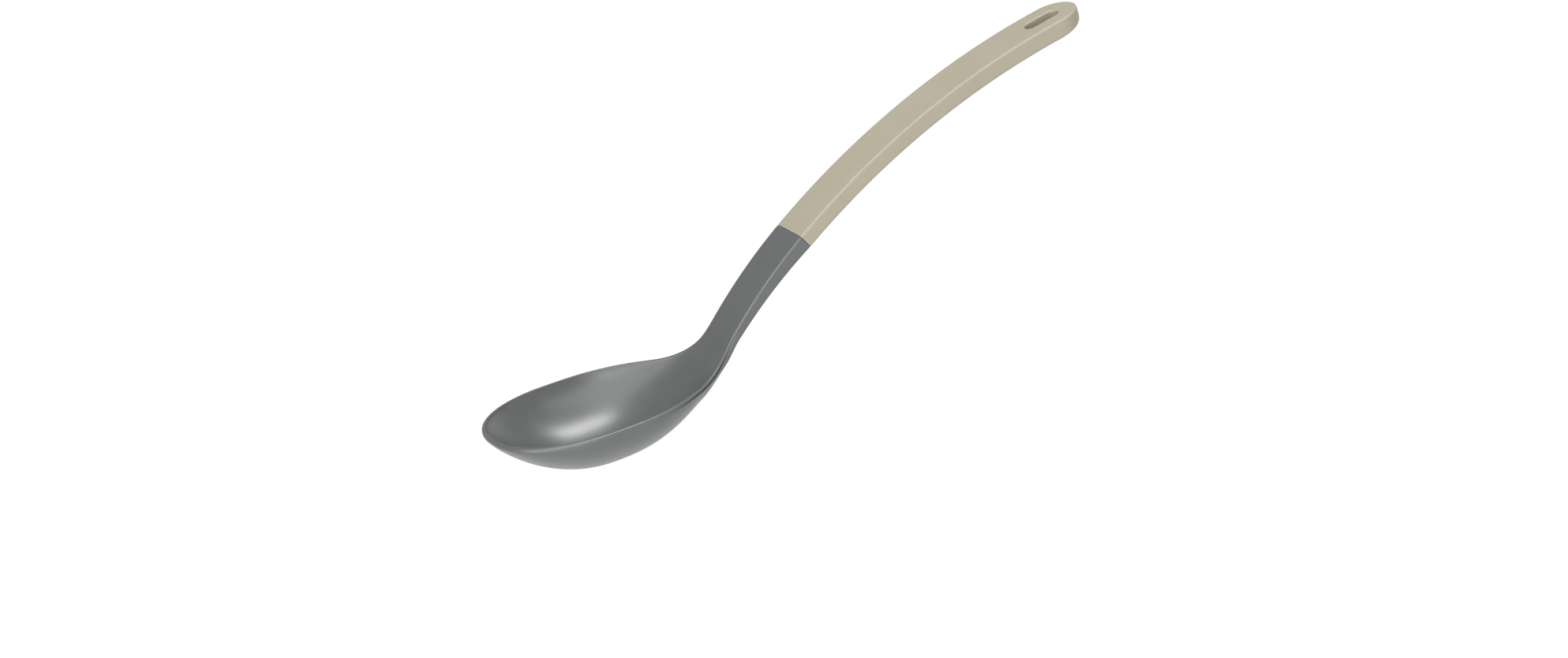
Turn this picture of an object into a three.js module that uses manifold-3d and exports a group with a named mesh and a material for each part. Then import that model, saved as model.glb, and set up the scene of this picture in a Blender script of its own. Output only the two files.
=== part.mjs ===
// A serving spoon in two mouldings: a nylon head with a hidden tang, and a handle moulded round that tang.
// Millimetres, +Z up. +X runs from the tip of the bowl to the end of the handle, and Y runs across.

import * as THREE from 'three';
import { LoftGeometry } from 'three/addons/geometries/LoftGeometry.js';
import { mergeVertices } from 'three/addons/utils/BufferGeometryUtils.js';
import Module from 'manifold-3d';

// Edge line: the side view of the rim and of the top edges, from the tip to the handle's end
const rimTilt = 11.1; // degrees that the rim rises towards the heel, with the bowl level
const rimLength = 88.7; // straight rim, from the tip to the heel bend
const heelRadius = 28; // bend from the rim up into the neck
const neckSlope = 58.3; // degrees, where the neck leaves the heel
const neckLength = 55.9; // heel bend to seam
const neckRadius = 236; // arch of the neck
const handleLength = 162.8; // seam to end
const handleRadius = 362; // arch of the handle

// Bowl outline, seen square to the rim
const bowlWidth = 73.9;
const widestAt = 40.8; // from the tip
const tipOutline = 0.45; // power of the outline before the widest place, 0.5 for an ellipse
const heelReach = 78.1; // from the widest place to where the oval has run out into the neck
const heelFullness = 3.1; // power that keeps the oval full behind its widest place
const heelWaist = 2.8; // power that draws it in to the neck

// Bowl depth, square to the rim
const bowlDepth = 24.5; // rim to the outside of the bottom
const deepestAt = 46.7; // from the tip
const tipKeel = 0.87; // power of the keel before the deepest place
const keelReach = 56.7; // from the deepest place to where the keel has run out into the neck
const keelFullness = 2.42; // power that keeps the keel deep behind its deepest place
const keelWaist = 1.5; // power that draws it in to the neck
const bowlSection = 0.67; // power of the cross section

// Bowl wall and rim
const floorWall = 2.3;
const rimWidth = 1.4;
const lipHeight = 1.75; // upright band under the rim
const edgeRadius = 0.9; // top edges of rim, neck and handle
const coveDepth = 0.9; // undercut below the rim at the heel
const coveAhead = 14; // middle of the undercut, ahead of the end of the heel bend
const coveReach = 15; // from that middle to either end of the undercut
const coveRise = 0.35; // height over which the undercut steps in
const hollowRunOut = 34; // length over which the hollow fades into the flat neck
const hollowPastHeel = 7; // the hollow ends this far beyond the heel bend

// Neck and handle section: flat top, upright sides, crowned back
const neckWidth = 22.3;
const neckRootThickness = 4; // at the sides, at the heel
const seamThickness = 7.2; // at the sides, at the seam
const backCrown = 2.9; // rise of the back between its sides
const backRadius = 1.2; // edges between sides and back
const neckFormLength = 20; // length over which the oval section turns into the neck's
const neckFormPastHeel = 1.5; // this change ends this far beyond the heel bend
const handleEndWidth = 22.2;
const endThickness = 8.1; // at the sides, at the handle's end
const endRound = 12.5; // length of the rounded end
const endOutline = 0.55; // power of the rounded end
const endBackLength = 15.5; // length over which the back is drawn in at the end
const endBackRise = 8.8; // rise of the back over that length

// Hanging slot
const slotLength = 16.5;
const slotWidth = 6.2;
const slotToEnd = 17; // slot centre to handle end
const slotEdgeRadius = 0.8;

// Tang, its windows, and the socket and pillars of the handle that lock into them
const tangLength = 96;
const tangWidth = 13;
const tangTipWidth = 10;
const tangThickness = 3.6;
const tangTipThickness = 3;
const tangDepth = 4.5; // top face to the middle of the tang
const tangCorner = 0.6;
const tangRoot = 2; // length that is buried in the neck
const windowCount = 3;
const windowLength = 12;
const windowWidth = 5;
const windowFirst = 20; // seam to the middle of the first window
const windowPitch = 28;
const pillarRoot = 0.8; // length of a pillar that is buried in the handle's walls
const fitClearance = 0.3; // tang to socket, and pillar to window
const seamGap = 0.3;

// Facets
const tipSteps = 18; // tip to the widest place
const rimSteps = 10; // widest place to the heel bend
const heelSteps = 16; // heel bend and the end of the hollow
const neckSteps = 9;
const handleSteps = 22;
const endSteps = 16; // rounded end of the handle
const hollowSteps = 9; // middle of the hollow to the rim
const sideSteps = 3; // upright side of the back
const cornerSteps = 3; // rounded edge of the back
const crownSteps = 5; // rounded edge to the middle of the back
const roundSteps = 8; // half a turn of a slot's end
const tangSteps = 14;
const weldDistance = 1e-4;
const turnHalvings = 40; // steps that find how the spoon lies
const slimShare = 1 / 3; // share of a narrow section's half width that its edge may take

const nylon = new THREE.MeshStandardMaterial({ color: 0x656768, roughness: 0.36, metalness: 0 });
const beigePlastic = new THREE.MeshStandardMaterial({ color: 0xb1aa96, roughness: 0.45, metalness: 0 });

const wasm = await Module();
wasm.setup();

// Stations along the edge line, as distances from the tip
const heelArc = heelRadius * THREE.MathUtils.degToRad(neckSlope - rimTilt);
const heelEnd = rimLength + heelArc;
const seam = heelEnd + neckLength;
const end = seam + handleLength;
const slotCentre = end - slotToEnd;
const backSteps = sideSteps + cornerSteps + crownSteps;

const edgeRuns = [
  { length: rimLength, curvature: 0 },
  { length: heelArc, curvature: 1 / heelRadius },
  { length: neckLength, curvature: -1 / neckRadius },
  { length: handleLength, curvature: -1 / handleRadius },
];

// A frame on the edge line: X along the spoon, Y across it and Z out of its top
function edgeFrame(station) {
  let angle = THREE.MathUtils.degToRad(rimTilt);
  let x = 0;
  let z = 0;
  let remaining = station;
  for (const { length, curvature } of edgeRuns) {
    const run = Math.min(remaining, length);
    const turn = run * curvature;
    const chord = curvature === 0 ? run : (2 * Math.sin(turn / 2)) / curvature;
    x += chord * Math.cos(angle + turn / 2);
    z += chord * Math.sin(angle + turn / 2);
    angle += turn;
    remaining -= run;
  }
  return new THREE.Matrix4().makeRotationY(-angle).setPosition(x, 0, z);
}

const { clamp, lerp, smoothstep } = THREE.MathUtils;

// Rounded fall from 1 at the middle to 0 at the end of its reach
function dome(share, power) {
  return (1 - clamp(share, 0, 1) ** 2) ** power;
}

// Smooth fall from 1 to 0 that stays full at first and runs out with no corner
function runOut(share, fullness, waist) {
  return (1 - clamp(share, 0, 1) ** fullness) ** waist;
}

// How far an edge that is rounded over a reach has dropped at a distance from the end of the piece
function edgeDrop(distance, reach, fullDrop) {
  const share = clamp(1 - distance / reach, 0, 1);
  return fullDrop * (1 - Math.sqrt(1 - share * share));
}

// A closed ring at a station, from half a section given as [across, depth] from top middle to back middle
function ring(station, half) {
  const frame = edgeFrame(station);
  const near = half.map(([across, depth]) => new THREE.Vector3(0, -across, -depth));
  const far = half.slice(1, -1).reverse().map(([across, depth]) => new THREE.Vector3(0, across, -depth));
  return [...near, ...far].map((point) => point.applyMatrix4(frame));
}

function solid(geometry) {
  const bare = new THREE.BufferGeometry();
  bare.setIndex(geometry.index);
  bare.setAttribute('position', geometry.attributes.position);
  const welded = mergeVertices(bare, weldDistance);
  const index = welded.index.array;
  const triangles = [];
  for (let i = 0; i < index.length; i += 3) {
    const [a, b, c] = index.slice(i, i + 3);
    if (a !== b && b !== c && c !== a) triangles.push(a, b, c);
  }
  const vertProperties = new Float32Array(welded.attributes.position.array);
  const triVerts = new Uint32Array(triangles);
  return new wasm.Manifold(new wasm.Mesh({ numProp: 3, vertProperties, triVerts }));
}

function namedMesh(name, body, material) {
  const { vertProperties, triVerts } = body.getMesh();
  const geometry = new THREE.BufferGeometry();
  geometry.setAttribute('position', new THREE.BufferAttribute(vertProperties, 3));
  geometry.setIndex(new THREE.BufferAttribute(triVerts, 1));
  geometry.computeVertexNormals();
  const mesh = new THREE.Mesh(geometry, material);
  mesh.name = name;
  return mesh;
}

function evenly(from, to, count) {
  return Array.from({ length: count }, (_, i) => lerp(from, to, i / count));
}

// Stations that crowd towards a rounded end, where the outline turns fastest
function crowded(endStation, lastStation, count) {
  return Array.from({ length: count }, (_, i) => {
    const share = 1 - Math.cos(((i / count) * Math.PI) / 2);
    return lerp(endStation, lastStation, share);
  });
}

// Side depth of neck and handle
function sideThickness(station) {
  if (station < seam) {
    const share = clamp((station - heelEnd) / neckLength, 0, 1);
    return lerp(neckRootThickness, seamThickness, share);
  }
  return lerp(seamThickness, endThickness, (station - seam) / handleLength);
}

// Upright side, rounded edge and crowned back, from a start depth to the back middle
function backPoint(share, halfWidth, startDepth, sideDepth, crown) {
  const radius = Math.min(backRadius, halfWidth / 2);
  const slope = halfWidth > 0 ? Math.atan((2 * crown) / halfWidth) : 0;
  const sideEnd = sideDepth - radius;
  const sideShare = sideSteps / backSteps;
  const cornerShare = (sideSteps + cornerSteps) / backSteps;
  if (share < sideShare) return [halfWidth, lerp(startDepth, sideEnd, share / sideShare)];
  const turned = clamp((share - sideShare) / (cornerShare - sideShare), 0, 1) * (Math.PI / 2 - slope);
  const across = halfWidth - radius + radius * Math.cos(turned);
  const depth = sideEnd + radius * Math.sin(turned);
  if (share < cornerShare) return [across, depth];
  const inward = across * (1 - (share - cornerShare) / (1 - cornerShare));
  const bulge = across > 0 ? (Math.tan(slope) / (2 * across)) * (across ** 2 - inward ** 2) : 0;
  return [inward, depth + bulge];
}

// Half width of the head, from the tip of the bowl to the seam
function headHalfWidth(station) {
  const beyond = station - widestAt;
  if (beyond < 0) return (bowlWidth / 2) * dome(-beyond / widestAt, tipOutline);
  return lerp(neckWidth / 2, bowlWidth / 2, runOut(beyond / heelReach, heelFullness, heelWaist));
}

// Depth from the edge line to the middle of the back
function headDepth(station) {
  const beyond = station - deepestAt;
  const fall = bowlDepth - lipHeight;
  if (beyond < 0) return lipHeight + fall * dome(-beyond / deepestAt, tipKeel);
  const neckDepth = sideThickness(station) + backCrown;
  return lerp(neckDepth, bowlDepth, runOut(beyond / keelReach, keelFullness, keelWaist));
}

// Depth of the hollow, which fades out into the flat top of the neck
function hollowDepth(station) {
  const fade = smoothstep(station, heelEnd + hollowPastHeel - hollowRunOut, heelEnd + hollowPastHeel);
  if (station >= deepestAt) return (headDepth(station) - floorWall) * (1 - fade);
  return (bowlDepth - floorWall) * dome((deepestAt - station) / (deepestAt - rimWidth), tipKeel);
}

// The rim stands out a little over the bowl's back at the heel
function coveIn(station) {
  const share = clamp(Math.abs(station - (heelEnd - coveAhead)) / coveReach, 0, 1);
  return coveDepth * (1 - share * share) ** 2;
}

function headHalfSection(station) {
  const halfWidth = headHalfWidth(station);
  const radius = Math.min(edgeRadius, halfWidth * slimShare);
  const innerWidth = halfWidth - Math.min(rimWidth, 2 * halfWidth * slimShare);
  const top = edgeDrop(station, edgeRadius, edgeRadius);
  const hollow = hollowDepth(station);
  const power = 2 * bowlSection;
  const points = [];
  for (let i = 0; i <= hollowSteps; i++) {
    const angle = ((i / hollowSteps) * Math.PI) / 2;
    const sink = i < hollowSteps ? hollow * Math.cos(angle) ** power : 0;
    points.push([innerWidth * Math.sin(angle), top + sink]);
  }
  const bevel = radius * (1 - Math.SQRT1_2);
  points.push([halfWidth - radius, top], [halfWidth - bevel, top + bevel], [halfWidth, top + radius]);
  points.push([halfWidth, lipHeight]);

  const formEnd = heelEnd + neckFormPastHeel;
  const neckForm = smoothstep(station, formEnd - neckFormLength, formEnd);
  const depth = headDepth(station);
  const start = Math.min(lipHeight + coveRise, depth);
  const bodyWidth = Math.max(halfWidth - coveIn(station), 0);
  for (let i = 0; i <= backSteps; i++) {
    const share = i / backSteps;
    const angle = (share * Math.PI) / 2;
    const ovalAcross = i < backSteps ? bodyWidth * Math.cos(angle) : 0;
    const ovalDepth = start + (depth - start) * Math.sin(angle) ** power;
    const [neckAcross, neckDepth] = backPoint(share, bodyWidth, start, sideThickness(station), backCrown);
    points.push([lerp(ovalAcross, neckAcross, neckForm), lerp(ovalDepth, neckDepth, neckForm)]);
  }
  return points;
}

function handleHalfSection(station) {
  const toEnd = end - station;
  const fullWidth = lerp(neckWidth, handleEndWidth, (station - seam) / handleLength) / 2;
  const halfWidth = fullWidth * dome(1 - toEnd / endRound, endOutline);
  const widthShare = (halfWidth / fullWidth) ** 2;
  const top = edgeDrop(toEnd, edgeRadius, edgeRadius);
  const radius = Math.min(edgeRadius, halfWidth * slimShare);
  const bevel = radius * (1 - Math.SQRT1_2);
  const crown = backCrown * widthShare;
  const drawnIn = edgeDrop(toEnd, endBackLength, endBackRise);
  const sideDepth = sideThickness(station) + backCrown - crown - drawnIn;
  const points = [[0, top], [halfWidth / 2, top], [halfWidth - radius, top]];
  points.push([halfWidth - bevel, top + bevel]);
  for (let i = 0; i <= backSteps; i++) {
    points.push(backPoint(i / backSteps, halfWidth, top + radius, sideDepth, crown));
  }
  return points;
}

// Bar with rounded corners for the tang and, grown by a clearance, for the socket
function barHalfSection(station, grow) {
  const share = clamp((station - seam) / tangLength, 0, 1);
  const halfWidth = lerp(tangWidth, tangTipWidth, share) / 2 + grow;
  const halfThickness = lerp(tangThickness, tangTipThickness, share) / 2 + grow;
  const top = tangDepth - halfThickness;
  const bottom = tangDepth + halfThickness;
  return [
    [0, top],
    [halfWidth - tangCorner, top],
    [halfWidth, top + tangCorner],
    [halfWidth, bottom - tangCorner],
    [halfWidth - tangCorner, bottom],
    [0, bottom],
  ];
}

function bar(from, to, grow) {
  const stations = [...evenly(from, to, tangSteps), to];
  const sections = stations.map((station) => ring(station, barHalfSection(station, grow)));
  return solid(new LoftGeometry(sections, { capStart: true, capEnd: true }));
}

// Outline with two straight sides and round ends, as points in X and Y
function slotOutline(length, width) {
  const radius = width / 2;
  const points = [];
  for (const side of [1, -1]) {
    for (let i = 0; i <= roundSteps; i++) {
      const angle = (i / roundSteps - 0.5) * Math.PI;
      const x = side * (length / 2 - radius + radius * Math.cos(angle));
      points.push(new THREE.Vector2(x, side * radius * Math.sin(angle)));
    }
  }
  return points;
}

// Post with round ends that stands square to the tang at a station
function post(station, length, width, height) {
  const shape = new THREE.Shape(slotOutline(length, width));
  const geometry = new THREE.ExtrudeGeometry(shape, { depth: height, bevelEnabled: false, steps: 1 });
  geometry.translate(0, 0, -tangDepth - height / 2);
  return solid(geometry.applyMatrix4(edgeFrame(station)));
}

// Cutter for the hanging slot, with its mouths opened out by the edge radius
function slotCutter() {
  const frame = edgeFrame(slotCentre);
  const backFace = sideThickness(slotCentre) + backCrown;
  const r = slotEdgeRadius;
  const bevel = r * (1 - Math.SQRT1_2);
  const levels = [
    { depth: backFace + r, grow: r },
    { depth: backFace, grow: r },
    { depth: backFace - bevel, grow: bevel },
    { depth: backFace - r, grow: 0 },
    { depth: r, grow: 0 },
    { depth: bevel, grow: bevel },
    { depth: 0, grow: r },
    { depth: -r, grow: r },
  ];
  const sections = levels.map(({ depth, grow }) => {
    const outline = slotOutline(slotLength + 2 * grow, slotWidth + 2 * grow);
    return outline.map((point) => new THREE.Vector3(point.x, point.y, -depth).applyMatrix4(frame));
  });
  return solid(new LoftGeometry(sections, { capStart: true, capEnd: true }));
}

const windowStations = Array.from({ length: windowCount }, (_, i) => seam + windowFirst + i * windowPitch);

function makeHead() {
  const stations = [
    ...crowded(0, widestAt, tipSteps),
    ...evenly(widestAt, rimLength, rimSteps),
    ...evenly(rimLength, heelEnd + hollowPastHeel, heelSteps),
    ...evenly(heelEnd + hollowPastHeel, seam, neckSteps),
    seam,
  ];
  const sections = stations.map((station) => ring(station, headHalfSection(station)));
  let head = solid(new LoftGeometry(sections, { capEnd: true }));
  head = head.add(bar(seam - tangRoot, seam + tangLength, 0));
  for (const station of windowStations) {
    head = head.subtract(post(station, windowLength, windowWidth, 2 * tangThickness));
  }
  return namedMesh('spoon_head', head, nylon);
}

function makeHandle() {
  const front = seam + seamGap;
  const endForm = end - Math.max(endRound, endBackLength);
  const stations = [
    ...evenly(front, endForm, handleSteps),
    endForm,
    ...crowded(end, endForm, endSteps).reverse(),
  ];
  const sections = stations.map((station) => ring(station, handleHalfSection(station)));
  let handle = solid(new LoftGeometry(sections, { capStart: true }));
  handle = handle.subtract(bar(seam - tangRoot, seam + tangLength + fitClearance, fitClearance));
  const pillarHeight = tangThickness + 2 * (fitClearance + pillarRoot);
  for (const station of windowStations) {
    const length = windowLength - 2 * fitClearance;
    const width = windowWidth - 2 * fitClearance;
    handle = handle.add(post(station, length, width, pillarHeight));
  }
  return namedMesh('handle', handle.subtract(slotCutter()), beigePlastic);
}

function lowestPoint(mesh, turn) {
  const position = mesh.geometry.attributes.position;
  let lowest = Infinity;
  for (let i = 0; i < position.count; i++) {
    const z = position.getZ(i) * Math.cos(turn) - position.getX(i) * Math.sin(turn);
    lowest = Math.min(lowest, z);
  }
  return lowest;
}

// Turn about Y that lays the spoon on the bottom of its bowl and the end of its handle
function layingTurn(head, handle) {
  let raised = 0;
  let lowered = Math.PI / 2;
  for (let i = 0; i < turnHalvings; i++) {
    const turn = (raised + lowered) / 2;
    if (lowestPoint(handle, turn) > lowestPoint(head, turn)) raised = turn;
    else lowered = turn;
  }
  return raised;
}

const head = makeHead();
const handle = makeHandle();
const spoon = new THREE.Group();
spoon.name = 'serving_spoon';
spoon.add(head, handle);
spoon.rotation.y = layingTurn(head, handle);

// The spoon lies on z = 0, with its box centred over the origin
const box = new THREE.Box3().setFromObject(spoon, true);
spoon.position.set(-(box.min.x + box.max.x) / 2, 0, -box.min.z);
spoon.updateMatrixWorld(true);

export default spoon;
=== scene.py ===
from math import acos, atan, cos, pi, radians, sin, sqrt, tan

import bmesh
import bpy
from mathutils import Matrix, Vector


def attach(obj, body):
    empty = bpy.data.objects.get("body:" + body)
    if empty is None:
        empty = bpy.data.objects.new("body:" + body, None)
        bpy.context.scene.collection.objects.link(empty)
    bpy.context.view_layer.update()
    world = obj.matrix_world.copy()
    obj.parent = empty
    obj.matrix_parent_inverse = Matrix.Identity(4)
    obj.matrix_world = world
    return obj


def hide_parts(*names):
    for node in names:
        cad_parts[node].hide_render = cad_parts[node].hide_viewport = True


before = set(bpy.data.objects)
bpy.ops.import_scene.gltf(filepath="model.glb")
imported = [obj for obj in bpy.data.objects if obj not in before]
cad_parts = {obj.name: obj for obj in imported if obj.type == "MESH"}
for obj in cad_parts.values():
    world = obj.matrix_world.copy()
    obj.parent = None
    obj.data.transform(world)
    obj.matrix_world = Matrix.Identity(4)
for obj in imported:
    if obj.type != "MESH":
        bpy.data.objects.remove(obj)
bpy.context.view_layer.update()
mm = 0.001

# Side view: the line of the top edges, from the tip of the bowl to the end of the handle, in mm
sideLine = {
    "tip": (-157.574, 52.437),  # x and z where the rim starts
    "rimSlope": -26.929,  # degrees, as the spoon lies on a table
    "rim": 88.7,
    "heelRadius": 28,
    "heelTurn": 47.2,  # degrees from the rim up into the neck
    "neck": 55.9,
    "neckRadius": 236,
    "handle": 162.8,
    "handleRadius": 362,
}

# Stations are distances from the tip along that line
heelArc = sideLine["heelRadius"] * radians(sideLine["heelTurn"])
heelEnd = sideLine["rim"] + heelArc
seam = heelEnd + sideLine["neck"]
end = seam + sideLine["handle"]
runs = (  # length and bend of each stretch
    (sideLine["rim"], 0),
    (heelArc, 1 / sideLine["heelRadius"]),
    (sideLine["neck"], -1 / sideLine["neckRadius"]),
    (sideLine["handle"], -1 / sideLine["handleRadius"]),
)

# Neck and handle section: flat top, upright sides, crowned back
gripSection = {
    "width": 22.3,
    "endWidth": 22.2,
    "rootThickness": 4,  # at the sides: heel, seam and end
    "seamThickness": 7.2,
    "endThickness": 8.1,
    "crown": 2.9,
    "topRadius": 0.9,
    "backRadius": 1.2,
    "seamEdge": 0.18,  # rounded edges on both sides of the seam
    "seamSteps": 2,
    "topSteps": 4,
    "sideSteps": 4,
    "cornerSteps": 5,
    "crownSteps": 9,
}

meshForm = {
    "mergeDistance": 0.002,  # mm
    "slopeStep": 0.2,  # mm, over which an outline's slope is taken
    "slopeShare": 0.25,  # most of the room before a rounded end that this step takes
    "roundingLevels": 1,
}


def clamp(value):
    return min(max(value, 0), 1)


def mix(a, b, share):
    return a + (b - a) * share


def smoothStep(low, high, value):
    share = clamp((value - low) / (high - low))
    return share * share * (3 - 2 * share)


# Falls from 1 to 0, as a quarter of an ellipse where the power is 0.5
def dome(share, power):
    return (1 - clamp(share) ** 2) ** power


# Falls from 1 to 0, full at first and drawn in to a slow end
def runOut(share, fullness, waist):
    return (1 - clamp(share) ** fullness) ** waist


# Place and slope of the side line at a station
def sideFrame(station):
    slope = radians(sideLine["rimSlope"])
    x, z = sideLine["tip"]
    remaining = station
    for length, bend in runs:
        run = min(remaining, length)
        turn = run * bend
        chord = 2 * sin(turn / 2) / bend if bend else run
        x += chord * cos(slope + turn / 2)
        z += chord * sin(slope + turn / 2)
        slope += turn
        remaining -= run
    return Matrix.Translation((x, 0, z)) @ Matrix.Rotation(-slope, 4, "Y")


# A point at a station, across the spoon and below its top
def spoonPoint(station, across, depth):
    return sideFrame(station) @ Vector((0, across, -depth)) * mm


def sideThickness(station):
    grip = gripSection
    if station < seam:
        share = clamp((station - heelEnd) / sideLine["neck"])
        return mix(grip["rootThickness"], grip["seamThickness"], share)
    return mix(grip["seamThickness"], grip["endThickness"], (station - seam) / sideLine["handle"])


# Depth of the neck's and handle's back at a place across, with its rounded edge and its crown
def crownedBack(across, halfWidth, sideDepth, crown):
    radius = min(gripSection["backRadius"], halfWidth / 2)
    if radius <= 0:
        return sideDepth
    slope = atan(2 * crown / halfWidth)
    sideEnd = sideDepth - radius
    corner = halfWidth - radius + radius * sin(slope)
    if across > corner:
        turned = acos(clamp((across - halfWidth + radius) / radius))
        return sideEnd + radius * sin(turned)
    bulge = tan(slope) / (2 * corner) * (corner ** 2 - across ** 2)
    return sideEnd + radius * cos(slope) + bulge


# Places from the side to the middle of the back, as shares of the half width
def backShares():
    grip = gripSection
    half = grip["width"] / 2
    radius = grip["backRadius"]
    slope = atan(2 * grip["crown"] / half)
    shares = []
    for i in range(grip["cornerSteps"]):
        turned = i / grip["cornerSteps"] * (pi / 2 - slope)
        shares.append((radius - radius * cos(turned)) / half)
    corner = (radius - radius * sin(slope)) / half
    for i in range(grip["crownSteps"] + 1):
        shares.append(mix(corner, 1, i / grip["crownSteps"]))
    return shares


# A place on a piece's outline as [station, half width], and the direction square to it
# Room is the length to the piece's rounded end, and endWay is 1 or -1 along the spoon there
def outlinePlace(halfWidthAt, station, room, endWay):
    if room <= 0:
        return Vector((station, 0)), Vector((endWay, 0))
    step = min(room * meshForm["slopeShare"], meshForm["slopeStep"])
    slope = (halfWidthAt(station + step) - halfWidthAt(station - step)) / (2 * step)
    return Vector((station, halfWidthAt(station))), Vector((-slope, 1)).normalized()


# Rounded top edge as [place, depth], from the flat top down to the side
def topEdge(outer, square, radius):
    steps = gripSection["topSteps"]
    row = []
    for i in range(steps + 1):
        turn = i / steps * pi / 2
        row.append((outer - square * radius * (1 - sin(turn)), radius * (1 - cos(turn))))
    return row


# Points of a row of [place, depth], none of them past the middle line
def rowPoints(row):
    return [spoonPoint(place.x, max(place.y, 0), depth) for place, depth in row]


def evenly(low, high, count):
    return [mix(low, high, i / count) for i in range(count)]


# Draws a row of edges out along the spoon, row by row, which makes half of a piece
def drawnOut(rows):
    bm = bmesh.new()
    bm.verts.layers.int.new("mouth")  # marks the edges of the slot
    place = bm.verts.layers.int.new("place")  # keeps the order within a row
    verts = [bm.verts.new(point) for point in rows[0]]
    for i, vert in enumerate(verts):
        vert[place] = i
    edges = [bm.edges.new(pair) for pair in zip(verts, verts[1:])]
    grid = [verts]
    for row in rows[1:]:
        drawn = bmesh.ops.extrude_edge_only(bm, edges=edges)["geom"]
        verts = [part for part in drawn if isinstance(part, bmesh.types.BMVert)]
        verts.sort(key=lambda vert: vert[place])
        for vert, point in zip(verts, row):
            vert.co = point
        edges = [bm.edges.get(pair) for pair in zip(verts, verts[1:])]
        grid.append(verts)
    return bm, grid


def mirrored(bm):
    near = meshForm["mergeDistance"] * mm
    everything = bm.verts[:] + bm.edges[:] + bm.faces[:]
    bmesh.ops.mirror(bm, geom=everything, axis="Y", merge_dist=near)
    bmesh.ops.remove_doubles(bm, verts=bm.verts[:], dist=near)
    poles = [vert for vert in bm.verts if len(vert.link_edges) == 2]  # where the rows fan out
    bmesh.ops.dissolve_verts(bm, verts=poles)
    bmesh.ops.recalc_face_normals(bm, faces=bm.faces[:])


def roundEdges(bm, edges, radius, steps):
    bmesh.ops.bevel(bm, geom=edges, offset=radius * mm, segments=steps,
                    profile=0.5, affect="EDGES", material=-1, clamp_overlap=True)


# Closes the open end at the seam and rounds its edge
def closeSeam(bm):
    edges = [edge for edge in bm.edges if edge.is_boundary]
    bmesh.ops.contextual_create(bm, geom=edges)
    roundEdges(bm, edges, gripSection["seamEdge"], gripSection["seamSteps"])
    bmesh.ops.recalc_face_normals(bm, faces=bm.faces[:])


def finished(bm, name, material):
    mesh = bpy.data.meshes.new(name)
    bm.to_mesh(mesh)
    bm.free()
    mesh.shade_smooth()
    mesh.materials.append(material)
    piece = bpy.data.objects.new(name, mesh)
    bpy.context.scene.collection.objects.link(piece)
    rounding = piece.modifiers.new("rounding", "SUBSURF")
    rounding.levels = meshForm["roundingLevels"]
    rounding.render_levels = meshForm["roundingLevels"]
    return piece


# Shader maths: wraps a socket, so that an expression adds its Math nodes
class Signal:
    def __init__(self, tree, socket=None):
        self.tree = tree
        self.socket = socket

    def node(self, kind, settings=None, inputs=None, output=0):
        made = self.tree.nodes.new(kind)
        for key, value in (settings or {}).items():
            setattr(made, key, value)
        for key, value in (inputs or {}).items():
            if isinstance(value, Signal):
                self.tree.links.new(value.socket, made.inputs[key])
            else:
                made.inputs[key].default_value = value
        return Signal(self.tree, None if output is None else made.outputs[output])

    def math(self, operation, a, b):
        return self.node("ShaderNodeMath", {"operation": operation}, {0: a, 1: b})

    def __add__(self, other):
        return self.math("ADD", self, other)

    def __sub__(self, other):
        return self.math("SUBTRACT", self, other)

    def __rsub__(self, other):
        return self.math("SUBTRACT", other, self)

    def __mul__(self, other):
        return self.math("MULTIPLY", self, other)

    __radd__ = __add__
    __rmul__ = __mul__


nylonFinish = {
    "dark": (0.087, 0.0915, 0.0935, 1),
    "light": (0.126, 0.1325, 0.1345, 1),
    "specular": 0.85,
    "roughness": 0.33,
    "roughnessSpread": 0.1,
    "cloudSize": 14,  # mm
    "grainSize": 0.6,
    "grainHeight": 0.011,
}

plasticFinish = {
    "dark": (0.37, 0.3355, 0.2565, 1),
    "light": (0.45, 0.4095, 0.3145, 1),
    "specular": 0.5,
    "roughness": 0.42,
    "roughnessSpread": 0.1,
    "cloudSize": 18,
    "grainSize": 0.7,
    "grainHeight": 0.018,
}

mouldNoise = {
    "cloudDetail": 4,
    "grainDetail": 2,
    "cloudShare": 0.45,  # in the colour
    "grainShare": 0.55,
    "middle": 0.5,  # of the noise's own range
}


# Moulded plastic: slight clouds in colour and gloss, and the fine grain of a blasted mould
def mouldedPlastic(name, finish):
    material = bpy.data.materials.new(name)
    material.use_nodes = True
    tree = material.node_tree
    shader = tree.nodes["Principled BSDF"]
    shader.inputs["Specular IOR Level"].default_value = finish["specular"]
    start = Signal(tree)
    spot = start.node("ShaderNodeTexCoord", output="Object")

    def noise(size, detail):
        inputs = {"Vector": spot, "Scale": 1 / (size * mm), "Detail": detail}
        return start.node("ShaderNodeTexNoise", inputs=inputs)

    clouds = noise(finish["cloudSize"], mouldNoise["cloudDetail"])
    grain = noise(finish["grainSize"], mouldNoise["grainDetail"])
    share = clouds * mouldNoise["cloudShare"] + grain * mouldNoise["grainShare"]
    mixInputs = {0: share, 6: finish["dark"], 7: finish["light"]}  # 6 and 7 are the two colours
    colour = start.node("ShaderNodeMix", {"data_type": "RGBA"}, mixInputs, 2)
    gloss = finish["roughness"] + (clouds - mouldNoise["middle"]) * finish["roughnessSpread"]
    bumpInputs = {"Strength": 1, "Distance": finish["grainHeight"] * mm, "Height": grain}
    bump = start.node("ShaderNodeBump", inputs=bumpInputs)
    tree.links.new(colour.socket, shader.inputs["Base Color"])
    tree.links.new(gloss.socket, shader.inputs["Roughness"])
    tree.links.new(bump.socket, shader.inputs["Normal"])
    return material


greyNylon = mouldedPlastic("grey_nylon", nylonFinish)
beigePlastic = mouldedPlastic("beige_plastic", plasticFinish)
print("finishes made")

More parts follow.
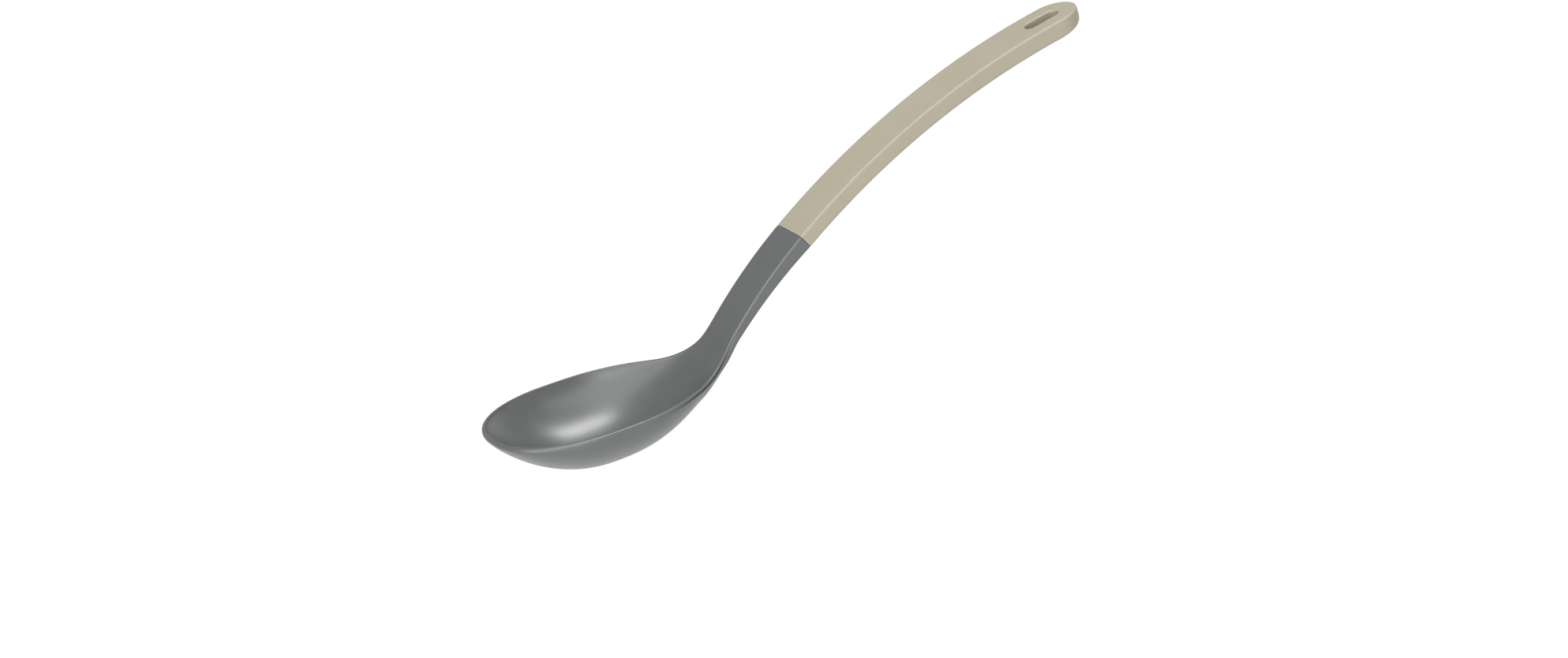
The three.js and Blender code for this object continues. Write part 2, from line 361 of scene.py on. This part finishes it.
# Bowl, rim and neck, in mm, with stations counted from the tip
headForm = {
    "bowlWidth": 73.9,
    "widestAt": 40.8,
    "tipOutline": 0.45,  # power of the outline before the widest place
    "heelReach": 78.1,  # behind the widest place the oval runs out into the neck
    "heelFullness": 3.1,  # powers of that stretch
    "heelWaist": 2.8,
    "bowlDepth": 24.5,
    "deepestAt": 46.7,
    "tipKeel": 0.87,  # power of the keel before the deepest place
    "keelReach": 56.7,  # behind the deepest place the keel runs out into the neck
    "keelFullness": 2.42,  # powers of that stretch
    "keelWaist": 1.5,
    "bowlSection": 0.67,  # power of the cross section
    "floorWall": 2.3,
    "rimWidth": 1.4,
    "lipHeight": 1.75,  # upright band under the rim
    "grooveDepth": 1.2,  # under the rim at the heel
    "grooveHeight": 0.9,
    "grooveEdge": 0.08,
    "grooveAhead": 19,  # middle of the groove, ahead of the end of the heel bend
    "grooveReach": 27,  # from that middle to either end
    "grooveFade": 1.3,  # power with which it fades out
    "grooveLip": 0.75,  # height of the lip over the groove
    "lipRadius": 0.5,  # its top edge
    "bodyStep": 0.25,  # the bowl's back stands in by this much under the groove
    "hollowRunOut": 34,  # length over which the hollow fades into the flat neck
    "hollowPastHeel": 7,  # it ends this far beyond the heel bend
    "neckFormLength": 20,  # length over which the oval section turns into the neck's
    "neckFormPastHeel": 1.5,  # this change ends this far beyond the heel bend
    "spineStart": 20,  # the sections fan out from here round the tip
    "tipRows": 30,
    "sideRows": 22,
    "heelRows": 26,
    "neckRows": 16,
    "hollowSteps": 18,
}


def headHalfWidth(station):
    form = headForm
    half = form["bowlWidth"] / 2
    beyond = station - form["widestAt"]
    if beyond < 0:
        return half * dome(-beyond / form["widestAt"], form["tipOutline"])
    share = runOut(beyond / form["heelReach"], form["heelFullness"], form["heelWaist"])
    return mix(gripSection["width"] / 2, half, share)


# Depth of the keel below the rim
def headDepth(station):
    form = headForm
    beyond = station - form["deepestAt"]
    lip = form["lipHeight"]
    fall = form["bowlDepth"] - lip
    if beyond < 0:
        return lip + fall * dome(-beyond / form["deepestAt"], form["tipKeel"])
    neckDepth = sideThickness(station) + gripSection["crown"]
    share = runOut(beyond / form["keelReach"], form["keelFullness"], form["keelWaist"])
    return mix(neckDepth, form["bowlDepth"], share)


# Depth of the hollow at its middle
def hollowDepth(station):
    form = headForm
    if station < form["deepestAt"]:
        full = form["bowlDepth"] - form["floorWall"]
        return full * dome(1 - station / form["deepestAt"], form["tipKeel"])
    fadeEnd = heelEnd + form["hollowPastHeel"]
    fade = smoothStep(fadeEnd - form["hollowRunOut"], fadeEnd, station)
    return (headDepth(station) - form["floorWall"]) * (1 - fade)


# Strength of the groove under the rim, 1 at its middle
def grooveShare(station):
    form = headForm
    fromMiddle = abs(station - heelEnd + form["grooveAhead"])
    return dome(fromMiddle / form["grooveReach"], form["grooveFade"])


# Radius of the top edge, which is smaller on the lip over the groove
def rimRadius(station):
    return mix(gripSection["topRadius"], headForm["lipRadius"], grooveShare(station))


# Lip and groove as [inward, depth], from the end of the rounded top edge to the start of the back
def grooveProfile(station):
    form = headForm
    top = rimRadius(station)
    edge = form["grooveEdge"]
    lip = form["grooveLip"]
    floor = lip + form["grooveHeight"]
    cut = ((0, lip - edge), (0, lip), (form["grooveDepth"], lip + edge),
           (form["grooveDepth"], floor - edge), (form["bodyStep"], floor))
    share = grooveShare(station)
    profile = []
    for i, (inward, depth) in enumerate(cut):
        plain = mix(top, form["lipHeight"], (i + 1) / len(cut))
        profile.append((inward * share, mix(plain, depth, share)))
    return profile


# How much of the full depth is left at a place across, for a section shaped as the bowl's
def bowlShare(across, halfWidth):
    if halfWidth <= 0:
        return 1
    return dome(across / halfWidth, headForm["bowlSection"])


def headRow(station):
    form = headForm
    grip = gripSection
    outer, square = outlinePlace(headHalfWidth, station, station, -1)
    spine = Vector((station, 0))
    if station < form["widestAt"]:
        spine.x = mix(form["spineStart"], form["widestAt"], station / form["widestAt"])
    row = []

    # hollow, from its middle out to the rim
    inner = outer - square * form["rimWidth"]
    inner.y = max(inner.y, 0)
    for i in range(form["hollowSteps"] + 1):
        share = sin(i / form["hollowSteps"] * pi / 2)
        under = spine.lerp(outer, share)
        sink = hollowDepth(under.x) * bowlShare(under.y, headHalfWidth(under.x))
        row.append((spine.lerp(inner, share), sink if i < form["hollowSteps"] else 0))

    # top edge and lip
    radius = rimRadius(station)
    row.append((outer - square * mix(form["rimWidth"], radius, 0.5), 0))
    row += topEdge(outer, square, radius)
    profile = grooveProfile(station)
    for inward, depth in profile[:-1]:
        row.append((outer - square * inward, depth))

    # back, from the groove under the lip to the keel
    formEnd = heelEnd + form["neckFormPastHeel"]
    neckForm = smoothStep(formEnd - form["neckFormLength"], formEnd, station)
    bodyIn, start = profile[-1]
    body = outer - square * bodyIn
    side = sideThickness(station)
    sideEnd = side - grip["backRadius"]
    shares = [0] * grip["sideSteps"] + backShares()
    count = len(shares) - 1
    for i, inward in enumerate(shares):
        turn = i / count * pi / 2
        share = cos(turn) if i < count else 0
        under = spine.lerp(outer, share)
        place = spine.lerp(body, share)
        depth = start + (headDepth(under.x) - start) * bowlShare(under.y, headHalfWidth(under.x))
        if neckForm > 0:
            across = body.y * (1 - inward)
            if i < grip["sideSteps"]:
                neckDepth = mix(start, sideEnd, i / grip["sideSteps"])
            else:
                neckDepth = crownedBack(across, body.y, side, grip["crown"])
            place = place.lerp(Vector((station, across)), neckForm)
            depth = mix(depth, neckDepth, neckForm)
        row.append((place, depth))
    return rowPoints(row)


def makeHead():
    form = headForm
    hollowEnd = heelEnd + form["hollowPastHeel"]
    stations = []
    for i in range(form["tipRows"]):
        stations.append(form["widestAt"] * (1 - cos(i / form["tipRows"] * pi / 2)))
    stations += evenly(form["widestAt"], sideLine["rim"], form["sideRows"])
    stations += evenly(sideLine["rim"], hollowEnd, form["heelRows"])
    stations += evenly(hollowEnd, seam, form["neckRows"])
    stations.append(seam)
    bm = drawnOut([headRow(station) for station in stations])[0]
    mirrored(bm)
    closeSeam(bm)
    return finished(bm, "nylon_head", greyNylon)


head = makeHead()
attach(head, "root")
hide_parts("spoon_head")
print("head made:", len(head.data.polygons), "faces")

handleForm = {
    "seamGap": 0.15,
    "endRound": 12.5,  # length of the rounded end, seen from above
    "endOutline": 0.55,  # its power
    "endBackLength": 15.5,  # length over which the back is drawn in
    "endBackRise": 8.8,
    "fanLength": 7.4,  # so far before the end the sections start to fan out
    "spineEnd": 4.6,  # before the end, where the last of them starts
    "slotLength": 16.5,
    "slotWidth": 6.2,
    "slotToEnd": 17,  # from its middle
    "slotEdge": 0.8,
    "slotEdgeSteps": 4,
    "slotMargin": 0.4,
    "gripRows": 56,
    "slotRows": 16,
    "endRows": 22,
    "topColumns": (0, 1.1, 2.3, 3.5, 5.2, 7, 8.8),  # mm across the top, over the slot
    "slotColumns": 3,  # how many of them the slot takes
}


def handleFullWidth(station):
    share = (station - seam) / sideLine["handle"]
    return mix(gripSection["width"], gripSection["endWidth"], share) / 2


def handleHalfWidth(station):
    form = handleForm
    rounding = dome(1 - (end - station) / form["endRound"], form["endOutline"])
    return handleFullWidth(station) * rounding


# Depth of the handle's back, which is drawn in along an ellipse at the end
def handleBack(station, across):
    form = handleForm
    half = handleHalfWidth(station)
    crown = gripSection["crown"] * (half / handleFullWidth(station)) ** 2
    share = clamp(1 - (end - station) / form["endBackLength"])
    drawnIn = form["endBackRise"] * (1 - sqrt(1 - share * share))
    side = sideThickness(station) + gripSection["crown"] - crown - drawnIn
    return crownedBack(across, half, side, crown)


def handleRow(station):
    form = handleForm
    toEnd = end - station
    outer, square = outlinePlace(handleHalfWidth, station, toEnd, 1)
    spine = Vector((station, 0))
    if toEnd < form["fanLength"]:
        spine.x = end - mix(form["spineEnd"], form["fanLength"], toEnd / form["fanLength"])
    radius = gripSection["topRadius"]
    flat = outer - square * radius
    fullFlat = handleFullWidth(station) - radius
    row = [(spine.lerp(flat, column / fullFlat), 0) for column in form["topColumns"]]
    row += topEdge(outer, square, radius)
    sideEnd = handleBack(station, outer.y)
    sideSteps = gripSection["sideSteps"]
    for i in range(1, sideSteps):
        row.append((outer, mix(radius, sideEnd, i / sideSteps)))
    for inward in backShares():
        place = outer.lerp(spine, inward)
        row.append((place, handleBack(place.x, place.y)))
    return rowPoints(row)


# Points round half of the slot, from its front to its back, as [station, across]
def slotPath(count):
    form = handleForm
    radius = form["slotWidth"] / 2
    straight = form["slotLength"] - form["slotWidth"]
    middle = end - form["slotToEnd"]
    total = pi * radius + straight
    path = []
    for i in range(count):
        along = i / (count - 1) * total
        if along < pi * radius / 2:
            turn = along / radius
            path.append((middle - straight / 2 - radius * cos(turn), radius * sin(turn)))
        elif along < pi * radius / 2 + straight:
            path.append((middle - straight / 2 + along - pi * radius / 2, radius))
        else:
            turn = (along - straight) / radius
            path.append((middle + straight / 2 - radius * cos(turn), radius * sin(turn)))
    return path


# Opens a mouth of the slot: takes out a block of faces and brings its border onto the slot's outline
def openMouth(bm, grid, first, last, columns, depthAt):
    inside = {row[column] for row in grid[first:last + 1] for column in columns}
    faces = [face for face in bm.faces if all(vert in inside for vert in face.verts)]
    border = [grid[first][column] for column in columns]
    border += [grid[i][columns[-1]] for i in range(first + 1, last)]
    border += [grid[last][column] for column in reversed(columns)]
    bmesh.ops.delete(bm, geom=faces, context="FACES")
    for vert, (station, across) in zip(border, slotPath(len(border))):
        vert.co = spoonPoint(station, across, depthAt(station, across))
    return border


def makeHandle():
    form = handleForm
    middle = end - form["slotToEnd"]
    slotReach = form["slotLength"] / 2 + form["slotMargin"]
    stations = evenly(seam + form["seamGap"], middle - slotReach, form["gripRows"])
    first = len(stations)
    stations += evenly(middle - slotReach, middle + slotReach, form["slotRows"])
    last = len(stations)
    stations.append(middle + slotReach)
    turnStart = acos(1 - form["fanLength"] / form["endRound"])
    for i in range(form["endRows"] + 1):
        turn = mix(turnStart, 0, i / form["endRows"])
        stations.append(end - form["endRound"] * (1 - cos(turn)))
    rows = [handleRow(station) for station in stations]
    bm, grid = drawnOut(rows)
    taken = range(form["slotColumns"] + 1)
    under = [len(rows[0]) - 1 - column for column in taken]
    topMouth = openMouth(bm, grid, first, last, taken, lambda station, across: 0)
    backMouth = openMouth(bm, grid, first, last, under, handleBack)
    mark = bm.verts.layers.int["mouth"]
    for vert in topMouth + backMouth:
        vert[mark] = 1
    loose = [vert for vert in bm.verts if not vert.link_faces]
    bmesh.ops.delete(bm, geom=loose, context="VERTS")
    mirrored(bm)
    mouths = [edge for edge in bm.edges if edge.is_boundary and all(vert[mark] for vert in edge.verts)]
    bmesh.ops.bridge_loops(bm, edges=mouths)
    mouths = [edge for edge in mouths if edge.is_valid]
    roundEdges(bm, mouths, form["slotEdge"], form["slotEdgeSteps"])
    closeSeam(bm)
    return finished(bm, "plastic_handle", beigePlastic)


handle = makeHandle()
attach(handle, "root")
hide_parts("handle")
print("handle made:", len(handle.data.polygons), "faces")

# The picture shows the spoon tipped back on its bowl, so the camera is tipped with it
cameraForm = {
    "elevation": 16.658,  # degrees, with the bowl as in the picture
    "azimuth": -26.56,
    "tipped": 38.029,  # degrees from the lying spoon to the spoon in the picture
    "distance": 2666.667,  # mm
    "right": 89.5,  # middle of the picture, mm in the picture's own frame
    "up": 57.219,
    "tipFoot": (-37.837, 0, 16.15),  # tip of the rim in that frame
    "lens": 144.942,
    "sensor": 36,
    "clipEnd": 50,  # metres
}


def photoFrame():
    tipX, tipZ = sideLine["tip"]
    onTip = Matrix.Translation((tipX, 0, tipZ))
    tipped = Matrix.Rotation(radians(cameraForm["tipped"]), 4, "Y")
    return onTip @ tipped @ Matrix.Translation(-Vector(cameraForm["tipFoot"]))


def makeCamera():
    form = cameraForm
    azimuth = radians(form["azimuth"])
    elevation = radians(form["elevation"])
    right = Vector((cos(azimuth), sin(azimuth), 0))
    back = Vector((sin(azimuth) * cos(elevation), -cos(azimuth) * cos(elevation), sin(elevation)))
    up = back.cross(right)
    turn = Matrix((right, up, back)).transposed().to_4x4()
    spot = right * form["right"] + up * form["up"] + back * form["distance"]
    view = photoFrame() @ Matrix.Translation(spot) @ turn
    lens = bpy.data.cameras.new("camera")
    lens.sensor_width = form["sensor"]
    lens.lens = form["lens"]
    lens.clip_end = form["clipEnd"]
    camera = bpy.data.objects.new("camera", lens)
    camera.matrix_world = Matrix.Translation(view.to_translation() * mm) @ view.to_3x3().to_4x4()
    bpy.context.scene.collection.objects.link(camera)
    bpy.context.scene.camera = camera


makeCamera()

stageForm = {
    "size": 8,  # metres
    "floor": (0.5, 0.5, 0.5, 1),
    "white": 1.15,  # brightness of the floor's own white
    "whiteShare": 0.85,  # of that white, as the camera sees it
    "worldColour": (1, 1, 1, 1),
    "world": 0.03,  # light that it gives
    "backdrop": 0.4,  # its brightness as it is seen
}


# 1 where the camera, a reflection or glass looks at the surround
def seenWhite(tree):
    start = Signal(tree)
    outputs = ("Is Camera Ray", "Is Glossy Ray", "Is Transmission Ray")
    rays = [start.node("ShaderNodeLightPath", output=name) for name in outputs]
    return rays[0] + rays[1] + rays[2]


def makeFloor():
    form = stageForm
    bm = bmesh.new()
    bmesh.ops.create_grid(bm, x_segments=1, y_segments=1, size=form["size"] / 2)
    mesh = bpy.data.meshes.new("floor")
    bm.to_mesh(mesh)
    bm.free()
    floor = bpy.data.objects.new("floor", mesh)
    bpy.context.scene.collection.objects.link(floor)
    material = bpy.data.materials.new("paper")
    material.use_nodes = True
    tree = material.node_tree
    tree.nodes.clear()
    start = Signal(tree)
    share = seenWhite(tree) * form["whiteShare"]
    paper = start.node("ShaderNodeBsdfDiffuse", inputs={"Color": form["floor"]})
    white = start.node("ShaderNodeEmission", inputs={"Strength": form["white"]})
    cover = start.node("ShaderNodeMixShader", inputs={0: share, 1: paper, 2: white})
    start.node("ShaderNodeOutputMaterial", inputs={"Surface": cover}, output=None)
    mesh.materials.append(material)


def makeWorld():
    form = stageForm
    world = bpy.data.worlds.new("studio")
    bpy.context.scene.world = world
    world.use_nodes = True
    tree = world.node_tree
    strength = seenWhite(tree) * (form["backdrop"] - form["world"]) + form["world"]
    background = tree.nodes["Background"]
    background.inputs["Color"].default_value = form["worldColour"]
    tree.links.new(strength.socket, background.inputs["Strength"])


makeFloor()
makeWorld()

# Soft boxes round the spoon, towards the right, the back and the top of the picture's own frame
lightForm = {
    "middle": (0, 0, 30),  # mm, what they face
    "distance": 1400,
    "boxes": {
        "top": {"towards": (0.06, 0.2, 0.97), "size": (360, 740), "watts": 10.5},
        "over": {"towards": (-0.4, -0.48, 0.78), "size": (1500, 1500), "watts": 13.5},
        "left": {"towards": (-0.67, -0.7, -0.12), "size": (2700, 1600), "watts": 34},
    },
}


def makeLights():
    middle = Vector(lightForm["middle"])
    tipped = Matrix.Rotation(radians(cameraForm["tipped"]), 3, "Y")
    for name, box in lightForm["boxes"].items():
        lamp = bpy.data.lights.new(name, "AREA")
        lamp.shape = "RECTANGLE"
        lamp.size = box["size"][0] * mm
        lamp.size_y = box["size"][1] * mm
        lamp.energy = box["watts"]
        light = bpy.data.objects.new(name, lamp)
        towards = tipped @ Vector(box["towards"]).normalized()
        light.rotation_euler = (-towards).to_track_quat("-Z", "Y").to_euler()
        light.location = (middle + towards * lightForm["distance"]) * mm
        bpy.context.scene.collection.objects.link(light)


makeLights()
bpy.context.scene.view_settings.view_transform = "Standard"
print("camera, floor and lights made")
